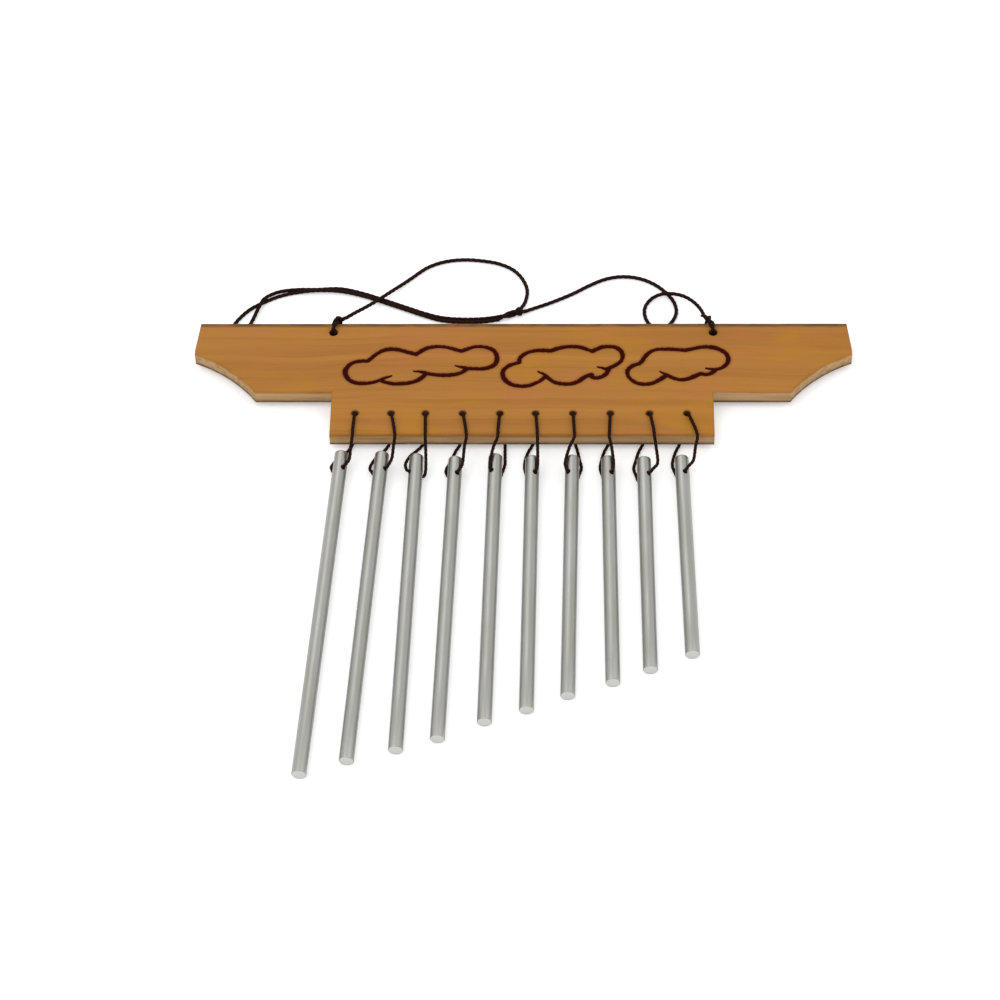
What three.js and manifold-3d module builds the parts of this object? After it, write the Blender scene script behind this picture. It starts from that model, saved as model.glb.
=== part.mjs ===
// A wind chime: ten solid aluminium rods, each hung by its own loop of cord from a wooden bar whose outline is a
// temple roof, and a hanging cord tied through the bar's two top holes. The chime lies on its back.
// Millimetres. +X runs along the bar, +Y from the rods towards the bar's top edge, and +Z out of the bar's front
// face. The surface that the chime lies on is z = 0, and the origin is under the middle of the bar and rods.

import * as THREE from 'three';
import { mergeVertices } from 'three/addons/utils/BufferGeometryUtils.js';
import Module from 'manifold-3d';

const wasm = await Module();
wasm.setup();

// Overall
const FINGER_GAP = 0.35; // clearance that touching pieces keep

// The bar
const BAR_LENGTH = 300; // across its two tips
const BAR_TOP_LENGTH = 296.8; // along its top edge
const BAR_TOP_Y = 124.8; // the bar's top edge, above the origin
const BAR_HEIGHT = 67.3;
const BAR_THICKNESS = 7.7;
const BAR_BACK_Z = 3.2; // the knots behind it carry it
const TIP_DROP = 15.9; // from the top edge down to a tip
const TIP_EDGE = 2.8; // height of the short square edge at each tip
const WING_DEPTH = 42.1; // from the top edge down to a wing's lower edge
const COVE_END_X = 121.1; // where the cove meets the wing's lower edge
const COVE_RADIUS = 68;
const COVE_STEPS = 12;
const BLOCK_WIDTH = 172.4; // the deeper middle part that carries the rods

// The holes in the bar
const ROD_HOLE_DIAMETER = 3.2;
const ROD_HOLE_X = [-75.1, -58.9, -43.4, -26.7, -9.9, 6.1, 22.9, 39.7, 57.2, 74.0]; // spaced by hand
const ROD_HOLE_RISE = 12.2; // above the bar's lower edge
const TOP_HOLE_DIAMETER = 3.9;
const TOP_HOLE_X = 87;
const TOP_HOLE_DROP = 6.0; // below the bar's top edge
const HOLE_SIDES = 12;

// The rods
const ROD_COUNT = 10;
const ROD_DIAMETER = 6.35; // quarter-inch rod
const ROD_SIDES = 20;
const LONGEST_ROD = 173.8;
const ROD_LENGTH_STEP = 7.3;
const CROSS_HOLE_DROP = 9.5; // below the rod's top end
const CROSS_HOLE_DIAMETER = 2.3;

// The cords
const ROD_CORD_DIAMETER = 1.55;
const HANGING_CORD_DIAMETER = 1.7;
const TIE_DIAMETER = 2.6; // two strands twisted together
const TIE_KNOT_DIAMETER = 2.9;
const CORD_SIDES = 8;
const ROD_CORD_STEPS = 52; // lengths that each swept cord is cut into
const TIE_STEPS = 16;
const LEFT_CORD_STEPS = 32;
const RIGHT_CORD_STEPS = 44;
const HANGING_LOOP_STEPS = 72;
const KNOT_SIDES = 12;
const KNOT_RINGS = 8;
const ROD_KNOT_WIDTH = 3.6;
const ROD_KNOT_HEIGHT = 2.85;

// Levels worked out from the driving dimensions
const barBottomY = BAR_TOP_Y - BAR_HEIGHT;
const barFrontZ = BAR_BACK_Z + BAR_THICKNESS;
const rodHoleY = barBottomY + ROD_HOLE_RISE;
const topHoleY = BAR_TOP_Y - TOP_HOLE_DROP;
const rodRadius = ROD_DIAMETER / 2;
const crossHoleZ = rodRadius + ROD_CORD_DIAMETER + FINGER_GAP; // each rod's upper end lies on its cord

// How each rod lies, from the longest to the shortest: the x and y of the middle of its top end, its lean in
// degrees, which is positive where its lower end is towards +X, and how far its cross-hole is turned up from level
// on the side that the front strand of its loop comes to.
const RODS = [
  { topX: -80.5, topY: 50.2, lean: -3.4, turned: 55 },
  { topX: -62.4, topY: 49.9, lean: -3.1, turned: 42 },
  { topX: -46.9, topY: 48.4, lean: -1.5, turned: -30 },
  { topX: -29.5, topY: 46.9, lean: -1.6, turned: 64 },
  { topX: -11.7, topY: 48.4, lean: -1.0, turned: 60 },
  { topX: 4.8, topY: 47.4, lean: -0.6, turned: 62 },
  { topX: 22.6, topY: 47.6, lean: -0.8, turned: 56 },
  { topX: 38.6, topY: 47.2, lean: 0.6, turned: 64 },
  { topX: 54.5, topY: 46.8, lean: 0.7, turned: 50 },
  { topX: 71.3, topY: 47.6, lean: 1.4, turned: 68 },
];

// How each rod's slack loop lies. side is the side of the rod that the front strand goes to, 1 for +X. frontX and
// backX are where the two strands pass the bar's lower edge, measured from the hole. frontBow is how far the front
// strand stands off the rod beyond FINGER_GAP, rise is how far above the cross-hole it does so, and over is how far
// round towards the rod's top it lies there, in degrees. backOut, backUp and backZ are where the back strand stands
// out most beside the rod: from the rod's axis, above the cross-hole, and above the surface. backIn is the share of
// its way across to the bar that it has made where it passes the rod's end.
const LOOPS = [
  {
    side: 1, frontX: -0.6, frontBow: 0.5, rise: 4.5, over: 34,
    backX: -1.1, backOut: 4.4, backUp: 4.8, backZ: 1.5, backIn: 0.55,
  },
  {
    side: 1, frontX: 2.1, frontBow: 1.1, rise: 5.5, over: 28,
    backX: -0.9, backOut: 5.1, backUp: 3.8, backZ: 2.2, backIn: 0.45,
  },
  {
    side: 1, frontX: 0.3, frontBow: 0.2, rise: 4.5, over: 12,
    backX: -1.2, backOut: 4.8, backUp: 6.6, backZ: 4.0, backIn: 0.25,
  },
  {
    side: 1, frontX: 1.9, frontBow: 0, rise: 4.5, over: 40,
    backX: -1.2, backOut: 4.2, backUp: 6.0, backZ: 1.4, backIn: 0.4,
  },
  {
    side: -1, frontX: -0.8, frontBow: 0, rise: 4, over: 60,
    backX: 2.3, backOut: 4.2, backUp: 8.2, backZ: 1.5, backIn: 0,
  },
  {
    side: 1, frontX: 0.9, frontBow: 0, rise: 4, over: 55,
    backX: -1.3, backOut: 3.5, backUp: 7.8, backZ: 1.4, backIn: 0.1,
  },
  {
    side: -1, frontX: 0.6, frontBow: 0, rise: 4.5, over: 44,
    backX: 1.2, backOut: 4.1, backUp: 7.2, backZ: 1.6, backIn: 0.35,
  },
  {
    side: 1, frontX: -0.5, frontBow: 0, rise: 4, over: 58,
    backX: -1.1, backOut: 3.55, backUp: 7.4, backZ: 1.4, backIn: 0.18,
  },
  {
    side: 1, frontX: 2.0, frontBow: 2.0, rise: 6, over: 18,
    backX: -3.1, backOut: 4.5, backUp: 7.4, backZ: 1.6, backIn: 0.25,
  },
  {
    side: 1, frontX: 4.2, frontBow: 1.5, rise: 6, over: 30,
    backX: -3.4, backOut: 4.0, backUp: 8.4, backZ: 1.5, backIn: 0.12,
  },
];

// The hanging cord's routes, from its knots, as it lies on the surface.
const CORD_Z = HANGING_CORD_DIAMETER / 2 + 0.08;
const LEFT_CORD_ROUTE = [
  [-81.8, 129.9, 8.8],
  [-77.8, 134.4, 7.5],
  [-73.0, 139.8, 5.6],
  [-68.4, 145.6, 3.6],
  [-64.6, 149.4, 3.2],
  [-60.2, 154.2, 2.4],
  [-56.4, 158.6, 1.4],
  [-52.7, 162.6, CORD_Z],
  [-45.4, 169.4, CORD_Z],
  [-37.9, 173.0, CORD_Z],
  [-29.3, 174.4, CORD_Z],
  [-20.5, 173.8, CORD_Z],
  [-12.0, 171.8, CORD_Z],
  [-5.2, 167.8, CORD_Z],
  [-0.6, 161.5, CORD_Z],
  [1.5, 154.4, CORD_Z],
  [0.6, 147.2, CORD_Z],
  [-1.4, 142.4, 1.5],
];
const RIGHT_CORD_ROUTE = [
  [83.4, 132.0, 7.8],
  [81.7, 138.2, 6.0],
  [78.6, 144.0, 4.6],
  [74.3, 148.4, 3.6],
  [69.2, 150.4, 3.1],
  [64.6, 150.6, 2.7],
  [60.8, 149.8, 1.6],
  [57.9, 147.2, CORD_Z],
  [56.3, 143.4, CORD_Z],
  [56.1, 139.3, CORD_Z],
  [57.4, 134.6, CORD_Z],
  [60.2, 130.9, CORD_Z],
  [64.4, 130.5, CORD_Z],
  [68.2, 133.8, CORD_Z],
  [70.8, 140.2, CORD_Z],
  [69.9, 146.8, CORD_Z],
  [66.6, 152.6, CORD_Z],
  [61.2, 158.2, CORD_Z],
  [54.5, 162.0, CORD_Z],
  [46.6, 163.4, CORD_Z],
  [38.6, 162.0, CORD_Z],
  [30.7, 157.8, CORD_Z],
  [22.7, 152.4, CORD_Z],
  [12.6, 146.8, CORD_Z],
  [4.6, 143.1, CORD_Z],
  [0.2, 140.6, 1.5],
];
const HANGING_LOOP_ROUTE = [
  [-10.2, 137.9, 1.2],
  [-18.0, 136.7, CORD_Z],
  [-28.0, 136.3, CORD_Z],
  [-38.0, 137.3, CORD_Z],
  [-46.4, 140.1, CORD_Z],
  [-54.5, 143.7, CORD_Z],
  [-64.0, 147.9, CORD_Z],
  [-75.0, 152.6, CORD_Z],
  [-86.0, 155.7, CORD_Z],
  [-97.0, 155.3, CORD_Z],
  [-106.0, 155.2, CORD_Z],
  [-113.6, 153.7, 1.3],
  [-117.6, 151.0, 2.2],
  [-121.3, 147.1, 2.9],
  [-124.0, 141.2, 1.8],
  [-126.0, 135.6, CORD_Z],
  [-128.4, 129.6, CORD_Z],
  [-130.6, 126.6, CORD_Z],
  [-133.6, 126.4, CORD_Z],
  [-134.9, 129.6, CORD_Z],
  [-133.9, 133.6, CORD_Z],
  [-131.0, 138.4, CORD_Z],
  [-127.0, 143.0, CORD_Z],
  [-121.3, 147.0, CORD_Z],
  [-115.0, 150.6, CORD_Z],
  [-107.0, 153.2, CORD_Z],
  [-97.0, 153.5, 2.2],
  [-86.0, 153.5, 1.6],
  [-75.0, 150.8, 1.3],
  [-64.0, 146.1, 1.3],
  [-54.5, 141.9, 1.3],
  [-46.4, 138.3, 1.3],
  [-38.0, 135.5, CORD_Z],
  [-28.0, 134.5, CORD_Z],
  [-18.0, 134.9, CORD_Z],
  [-11.4, 135.9, 1.2],
];

// A top tie on the +X side: from its knot over the front face into the hole, and back behind the bar.
const TIE_ROUTE = [
  [84.9, 127.7, 11.5],
  [85.7, 125.0, 12.7],
  [86.6, 121.4, 12.9],
  [87.0, 119.3, 12.0],
  [87.0, 118.8, 9.6],
  [87.0, 118.9, 4.2],
  [87.0, 119.4, 2.0],
  [86.7, 121.4, 1.5],
  [86.1, 125.2, 1.56],
  [85.2, 127.5, 3.5],
  [84.8, 127.4, 6.2],
];
const RIGHT_TIE_KNOT = [[84.6, 128.0, 9.9], [83.7, 131.2, 8.2]];
const LEFT_TIE_KNOT = [[-85.3, 127.6, 9.4], [-82.5, 129.3, 9.0]];
const CENTRE_KNOT = { start: [-2.2, 140.2, 1.9], end: [-9.8, 137.1, 1.9], diameter: 3.7 };

const WOOD = new THREE.MeshStandardMaterial({ color: 0xb0783e, roughness: 0.55, metalness: 0 });
const ALUMINIUM = new THREE.MeshStandardMaterial({ color: 0xb4b4ae, roughness: 0.4, metalness: 1 });
const CORD = new THREE.MeshStandardMaterial({ color: 0x1c1310, roughness: 0.7, metalness: 0 });

const chime = new THREE.Group();

// A closed geometry as a solid that can be cut.
function solidOf(geometry) {
  const bare = geometry.clone();
  bare.deleteAttribute('normal');
  bare.deleteAttribute('uv');
  const merged = mergeVertices(bare, 1e-4);
  const mesh = new wasm.Mesh({
    numProp: 3,
    vertProperties: new Float32Array(merged.attributes.position.array),
    triVerts: new Uint32Array(merged.index.array),
  });
  return new wasm.Manifold(mesh);
}

// A cut solid as a geometry again.
function geometryOf(solid) {
  const mesh = solid.getMesh();
  const geometry = new THREE.BufferGeometry();
  geometry.setAttribute('position', new THREE.BufferAttribute(new Float32Array(mesh.vertProperties), 3));
  geometry.setIndex(new THREE.BufferAttribute(new Uint32Array(mesh.triVerts), 1));
  geometry.computeVertexNormals();
  return geometry;
}

// A named piece in the assembly.
function addPiece(name, geometry, material) {
  const piece = new THREE.Mesh(geometry, material);
  piece.name = name;
  chime.add(piece);
  return piece;
}

// The bar's outline, with y = 0 on its top edge.
function barOutline() {
  const tipX = BAR_LENGTH / 2;
  const topX = BAR_TOP_LENGTH / 2;
  const blockX = BLOCK_WIDTH / 2;
  const coveTopY = -TIP_DROP - TIP_EDGE;
  const chord = new THREE.Vector2(COVE_END_X - tipX, -WING_DEPTH - coveTopY);
  const middle = new THREE.Vector2(tipX + COVE_END_X, coveTopY - WING_DEPTH).multiplyScalar(0.5);
  const reach = Math.sqrt(COVE_RADIUS ** 2 - chord.lengthSq() / 4);
  const outward = new THREE.Vector2(-chord.y, chord.x).normalize();
  const centre = middle.addScaledVector(outward, reach);
  const atTip = Math.atan2(coveTopY - centre.y, tipX - centre.x);
  const atWing = Math.atan2(-WING_DEPTH - centre.y, COVE_END_X - centre.x);
  const rightCove = [];
  for (let step = 0; step <= COVE_STEPS; step++) {
    const angle = atTip + ((atWing - atTip) * step) / COVE_STEPS;
    rightCove.push(new THREE.Vector2(
      centre.x + COVE_RADIUS * Math.cos(angle),
      centre.y + COVE_RADIUS * Math.sin(angle),
    ));
  }
  const rightHalf = [
    new THREE.Vector2(topX, 0),
    new THREE.Vector2(tipX, -TIP_DROP),
    ...rightCove,
    new THREE.Vector2(blockX, -WING_DEPTH),
    new THREE.Vector2(blockX, -BAR_HEIGHT),
  ];
  const leftHalf = rightHalf.map((point) => new THREE.Vector2(-point.x, point.y)).reverse();
  return new THREE.Shape([...rightHalf, ...leftHalf]);
}

function makeBar() {
  const blank = new THREE.ExtrudeGeometry(barOutline(), {
    depth: BAR_THICKNESS,
    bevelEnabled: false,
    curveSegments: 1,
  });
  blank.translate(0, BAR_TOP_Y, BAR_BACK_Z);
  let bar = solidOf(blank);
  const drill = (x, y, diameter) => {
    const bit = new THREE.CylinderGeometry(diameter / 2, diameter / 2, 2 * BAR_THICKNESS, HOLE_SIDES);
    bit.rotateX(Math.PI / 2);
    bit.translate(x, y, BAR_BACK_Z + BAR_THICKNESS / 2);
    bar = bar.subtract(solidOf(bit));
  };
  for (let index = 0; index < ROD_COUNT; index++) {
    drill(ROD_HOLE_X[index], rodHoleY, ROD_HOLE_DIAMETER);
  }
  for (const side of [-1, 1]) {
    drill(side * TOP_HOLE_X, topHoleY, TOP_HOLE_DIAMETER);
  }
  addPiece('board', geometryOf(bar), WOOD);
}

function rodLength(index) {
  return LONGEST_ROD - index * ROD_LENGTH_STEP;
}

// How a rod is turned: tilted, so that its upper end lies on its cord and its lower end on the surface, and leaned.
function rodTurn(index) {
  const tilt = Math.asin((crossHoleZ - rodRadius) / (rodLength(index) - CROSS_HOLE_DROP));
  return new THREE.Euler(tilt, 0, THREE.MathUtils.degToRad(RODS[index].lean), 'ZYX');
}

// A point of a rod, measured across it from its axis, along it from its top end and out of its front.
function onRod(index, across, along, above) {
  const turn = rodTurn(index);
  const topEndZ = crossHoleZ + CROSS_HOLE_DROP * Math.sin(turn.x);
  const topEnd = new THREE.Vector3(RODS[index].topX, RODS[index].topY, topEndZ);
  return new THREE.Vector3(across, along, above).applyEuler(turn).add(topEnd);
}

// A rod stands along its own -Y from its top end, and is then turned and laid down in its place.
function makeRod(index) {
  const length = rodLength(index);
  const bar = new THREE.CylinderGeometry(rodRadius, rodRadius, length, ROD_SIDES);
  bar.translate(0, -length / 2, 0);
  const bit = new THREE.CylinderGeometry(
    CROSS_HOLE_DIAMETER / 2, CROSS_HOLE_DIAMETER / 2, 2 * ROD_DIAMETER, HOLE_SIDES);
  bit.rotateZ(Math.PI / 2);
  bit.rotateY(-LOOPS[index].side * THREE.MathUtils.degToRad(RODS[index].turned));
  bit.translate(0, -CROSS_HOLE_DROP, 0);
  const rod = solidOf(bar).subtract(solidOf(bit));
  const piece = addPiece(`rod_${index + 1}`, geometryOf(rod), ALUMINIUM);
  piece.position.copy(onRod(index, 0, 0, 0));
  piece.rotation.copy(rodTurn(index));
}

// A plain round cord along a route.
function cordGeometry(route, diameter, steps) {
  const section = new THREE.Shape();
  for (let side = 0; side < CORD_SIDES; side++) {
    const angle = (2 * Math.PI * side) / CORD_SIDES;
    const x = (diameter / 2) * Math.cos(angle);
    const y = (diameter / 2) * Math.sin(angle);
    if (side === 0) section.moveTo(x, y);
    else section.lineTo(x, y);
  }
  section.closePath();
  const points = route.map((point) => new THREE.Vector3(...point));
  const path = new THREE.CatmullRomCurve3(points, false, 'centripetal');
  return new THREE.ExtrudeGeometry(section, { extrudePath: path, steps, bevelEnabled: false });
}

// The route of one rod's loop: from its knot behind the bar up through the hole, down over the front face, into
// the rod's cross-hole from its front, out under the rod, and up behind the bar to the knot again.
function rodCordRoute(index) {
  const { side, frontX, frontBow, rise, over, backX, backOut, backUp, backZ, backIn } = LOOPS[index];
  const turned = THREE.MathUtils.degToRad(RODS[index].turned);
  const holeX = ROD_HOLE_X[index];
  const clear = ROD_CORD_DIAMETER / 2 + FINGER_GAP;
  const frontZ = barFrontZ + clear;
  const behindZ = BAR_BACK_Z - clear;
  // A point by the rod: its distance from the rod's axis, how far above the cross-hole, and how far round the rod
  // from level on the way given, in radians.
  const round = (way, reach, up, turn) => {
    return onRod(index, way * reach * Math.cos(turn), up - CROSS_HOLE_DROP, reach * Math.sin(turn)).toArray();
  };
  const near = rodRadius + ROD_CORD_DIAMETER / 2;
  const highest = THREE.MathUtils.degToRad(over);
  const frontBend = round(side, rodRadius + clear + frontBow, rise, highest);
  const beside = onRod(index, -side * backOut, backUp - CROSS_HOLE_DROP, 0).toArray();
  const backBend = [beside[0], beside[1], backZ];
  const backReach = Math.hypot(backOut, backZ - crossHoleZ);
  const backTurn = Math.atan2(backZ - crossHoleZ, backOut);
  const toBackX = holeX + backX - backBend[0];
  return [
    [holeX, rodHoleY, BAR_BACK_Z + 0.15],
    [holeX, rodHoleY, BAR_BACK_Z + 4],
    [holeX, rodHoleY - 0.2, barFrontZ],
    [holeX + 0.12 * frontX, rodHoleY - 1.5, frontZ + 0.1],
    [holeX + 0.5 * frontX, rodHoleY - 5.5, frontZ],
    [holeX + 0.9 * frontX, barBottomY + 1.2, frontZ + 0.1],
    [holeX + 1.05 * frontX, barBottomY - 2.3, barFrontZ + 0.5],
    [0.5 * (holeX + 1.1 * frontX + frontBend[0]), barBottomY - 6.5, 0.5 * (barFrontZ + 0.5 + frontBend[2])],
    frontBend,
    round(side, near + 0.5 * frontBow + 0.35, 0.35 * rise, 0.35 * highest + 0.65 * turned),
    round(side, near + 0.2, 0.2, turned),
    round(side, 0.72 * rodRadius, 0, turned),
    round(side, 0, 0, turned),
    round(-side, 0.72 * rodRadius, 0, -turned),
    round(-side, near + 0.1, 0.1, -turned),
    round(-side, Math.max(near + 0.25, 0.5 * (near + backReach)), 0.4 * backUp, 0.5 * (backTurn - turned)),
    backBend,
    [backBend[0] + backIn * toBackX, RODS[index].topY + 3, 0.4 + 0.5 * backZ],
    [backBend[0] + (0.45 + 0.6 * backIn) * toBackX, barBottomY - 2.2, 1.2],
    [holeX + backX, barBottomY + 1, behindZ - 0.2],
    [holeX + 0.5 * backX, rodHoleY - 6, behindZ - 0.4],
    [holeX, rodHoleY - ROD_KNOT_WIDTH / 2 - ROD_CORD_DIAMETER / 2 + 0.1, ROD_KNOT_HEIGHT / 2],
  ];
}

function makeRodCord(index) {
  const geometry = cordGeometry(rodCordRoute(index), ROD_CORD_DIAMETER, ROD_CORD_STEPS);
  addPiece(`rod_cord_${index + 1}`, geometry, CORD);
  const knot = new THREE.SphereGeometry(0.5, KNOT_SIDES, KNOT_RINGS);
  knot.rotateX(Math.PI / 2); // its poles up and down
  knot.scale(ROD_KNOT_WIDTH, ROD_KNOT_WIDTH, ROD_KNOT_HEIGHT);
  const piece = addPiece(`rod_knot_${index + 1}`, knot, CORD);
  piece.position.set(ROD_HOLE_X[index], rodHoleY, ROD_KNOT_HEIGHT / 2);
}

// A knot is a plain long ball between two points.
function makeKnot(name, start, end, diameter) {
  const from = new THREE.Vector3(...start);
  const to = new THREE.Vector3(...end);
  const along = to.clone().sub(from);
  const ball = new THREE.SphereGeometry(0.5, KNOT_SIDES, KNOT_RINGS);
  ball.scale(diameter, along.length(), diameter);
  const piece = addPiece(name, ball, CORD);
  piece.position.copy(from).add(to).multiplyScalar(0.5);
  piece.quaternion.setFromUnitVectors(new THREE.Vector3(0, 1, 0), along.normalize());
}

function mirrored(points) {
  return points.map(([x, y, z]) => [-x, y, z]);
}

function makeHangingCord() {
  addPiece('tie_right', cordGeometry(TIE_ROUTE, TIE_DIAMETER, TIE_STEPS), CORD);
  makeKnot('tie_knot_right', ...RIGHT_TIE_KNOT, TIE_KNOT_DIAMETER);
  addPiece('tie_left', cordGeometry(mirrored(TIE_ROUTE), TIE_DIAMETER, TIE_STEPS), CORD);
  makeKnot('tie_knot_left', ...LEFT_TIE_KNOT, TIE_KNOT_DIAMETER);
  const strands = [
    ['hanging_cord_left', LEFT_CORD_ROUTE, LEFT_CORD_STEPS],
    ['hanging_cord_right', RIGHT_CORD_ROUTE, RIGHT_CORD_STEPS],
    ['hanging_loop', HANGING_LOOP_ROUTE, HANGING_LOOP_STEPS],
  ];
  for (const [name, route, steps] of strands) {
    addPiece(name, cordGeometry(route, HANGING_CORD_DIAMETER, steps), CORD);
  }
  makeKnot('centre_knot', CENTRE_KNOT.start, CENTRE_KNOT.end, CENTRE_KNOT.diameter);
}

makeBar();
for (let index = 0; index < ROD_COUNT; index++) {
  makeRod(index);
  makeRodCord(index);
}
makeHangingCord();

export default chime;
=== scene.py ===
"""A wind chime lying on its back: a wooden bar with a temple-roof outline and three burnt clouds, ten solid
aluminium rods on loops of dark cord, and a knotted hanging cord. Names that end in _MM, and the tables RODS
and LOOPS, are in millimetres, and Blender's own objects are in metres. Both are in the CAD part's frame."""

import functools
import random
from math import asin, atan2, cos, hypot, pi, radians, sin, sqrt

import bmesh
import bpy
import numpy as np
from mathutils import Matrix, Vector
from mathutils.geometry import delaunay_2d_cdt
from numpy.linalg import norm


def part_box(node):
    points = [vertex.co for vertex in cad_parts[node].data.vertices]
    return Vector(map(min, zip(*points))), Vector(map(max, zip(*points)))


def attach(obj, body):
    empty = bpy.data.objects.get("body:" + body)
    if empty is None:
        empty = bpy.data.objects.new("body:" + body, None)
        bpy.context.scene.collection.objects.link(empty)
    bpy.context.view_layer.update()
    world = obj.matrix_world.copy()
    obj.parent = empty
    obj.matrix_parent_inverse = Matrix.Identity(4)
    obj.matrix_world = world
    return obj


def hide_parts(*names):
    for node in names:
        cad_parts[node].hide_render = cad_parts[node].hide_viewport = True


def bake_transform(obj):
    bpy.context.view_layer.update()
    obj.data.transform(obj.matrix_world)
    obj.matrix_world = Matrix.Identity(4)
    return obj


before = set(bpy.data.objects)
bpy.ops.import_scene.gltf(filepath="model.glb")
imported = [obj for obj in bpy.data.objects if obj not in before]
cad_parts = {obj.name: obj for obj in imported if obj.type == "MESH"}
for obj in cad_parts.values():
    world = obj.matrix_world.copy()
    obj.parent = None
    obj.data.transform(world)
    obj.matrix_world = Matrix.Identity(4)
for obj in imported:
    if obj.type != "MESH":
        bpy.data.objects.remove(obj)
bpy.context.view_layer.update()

MM = 0.001

# Camera
CAMERA_ELEVATION = 50.197  # degrees
CAMERA_AZIMUTH = -1.936
CAMERA_ROLL = -1.449
CAMERA_DISTANCE = 1.5097
CAMERA_TARGET = (-0.00946, 0.02794, 0.0)
CAMERA_LENS_MM = 122.45
CAMERA_SENSOR_MM = 36

# The bar
BAR_LOW, BAR_HIGH = (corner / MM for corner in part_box("board"))
BAR_TOP_LENGTH_MM = 296.8
TIP_DROP_MM = 15.9
TIP_EDGE_MM = 2.8
WING_DEPTH_MM = 42.1
COVE_END_X_MM = 121.1
COVE_RADIUS_MM = 68
BLOCK_WIDTH_MM = 172.4
COVE_POINTS = 20
OUTLINE_STEP_MM = 4
FRONT_EASE_MM = 1.0  # radius of the front face's sanded edges
BACK_EASE_MM = 0.4

# The holes in the bar
ROD_HOLE_X_MM = [-75.1, -58.9, -43.4, -26.7, -9.9, 6.1, 22.9, 39.7, 57.2, 74.0]
ROD_HOLE_Y_MM = 69.7
ROD_HOLE_DIAMETER_MM = 3.2
TOP_HOLE_X_MM = 87
TOP_HOLE_Y_MM = 118.8
TOP_HOLE_DIAMETER_MM = 3.9
HOLE_EASE_MM = 0.3
HOLE_SIDES = 28

# The bar's oil, and the painted shade along its top edge
TOP_EDGE_SHADE = 0.75  # how much painted shade the bar's top edge takes, as a share
TOP_SHADE_MM = (3.4, 1.6)  # how far below the top edge the front face's painted shade begins, and is full
OILED_TO_MM = (9.7, 8.6)  # the height that oil has run down to on the sides of the wings, and of the block
OILED_FROM_Y_MM = (80, 62)  # where the wings' height begins, and the block's

# The bar's mesh
FRONT_SPACING_MM = 2.6
BACK_SPACING_MM = 5
RIM_GAP_MM = 0.25  # inside a face's edges, where no loose point lies
LINE_POINT_GAP_MM = 0.42
CLEAR_OF_LINES = 3.6  # half widths from a burnt line to the nearest loose point
CHUNK = 2000  # points measured at a time, to save memory
UNBURNT = 6.0  # half widths that stand for no burnt line near

# The burnt lines
LINE_HALF_WIDTH_MM = 1.05
LINE_DEPTH_MM = 0.5
LINE_STEP_MM = 0.6
TAIL_LENGTH_MM = 5.0  # over which a loose end thins
LINE_OFFSETS = [0, 0.35, 0.7, 1.0, 1.25, 1.7, 2.6]  # rows of points beside a line, in half widths

# The rods
ROD_DIAMETER_MM = 6.35
LONGEST_ROD_MM = 173.8
ROD_LENGTH_STEP_MM = 7.3
CROSS_HOLE_DROP_MM = 9.5
CROSS_HOLE_DIAMETER_MM = 2.3
ROD_SIDES = 56
ROD_CHAMFER_MM = 0.28
CROSS_HOLE_EASE_MM = 0.35
CROSS_HOLE_SIDES = 32
SHARP_EDGE = radians(32)

# The cords
ROD_CORD_DIAMETER_MM = 1.55
HANGING_CORD_DIAMETER_MM = 1.7
HANGING_CORD_FULL_MM = 1.84  # over the crowns of its plies
FINGER_GAP_MM = 0.35
CROSS_HOLE_Z_MM = ROD_DIAMETER_MM / 2 + ROD_CORD_DIAMETER_MM + FINGER_GAP_MM
ROD_KNOT_WIDTH_MM = 3.6
CORD_PLIES = 3
CORD_SIDES = 6 * CORD_PLIES
PLY_SOFTNESS = 0.35  # how much of the true depth the grooves between plies have
CORD_LAY = 4.2  # diameters of cord for each turn of its plies
CORD_SPACING_MM = 0.28  # between the rings of a cord's mesh
KNOT_SPACING_MM = 0.15  # the same, in a tie's knot
KNOT_STRAND = 0.92  # a strand pulled tight in a rod's knot, as a share of the loose cord
TIE_STRAND = 0.78  # the same, in a top tie
TIE_TURN_MM = 11.0  # each turn of a tie's two strands
WRAP_STRAND_MM = 1.25
WRAP_RADIUS_MM = 0.5
WRAP_TURN_MM = 1.2
TAG_END_STRAND_MM = 1.1
CENTRE_LUMP_MM = (4.4, 3.6)  # its width and height

# How each rod lies: the x and y of the middle of its top end, its lean in degrees, and how far its cross-hole
# is turned up from level on the front strand's side, in degrees.
RODS = [
    (-80.5, 50.2, -3.4, 55),
    (-62.4, 49.9, -3.1, 42),
    (-46.9, 48.4, -1.5, -30),
    (-29.5, 46.9, -1.6, 64),
    (-11.7, 48.4, -1.0, 60),
    (4.8, 47.4, -0.6, 62),
    (22.6, 47.6, -0.8, 56),
    (38.6, 47.2, 0.6, 64),
    (54.5, 46.8, 0.7, 50),
    (71.3, 47.6, 1.4, 68),
]

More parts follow.
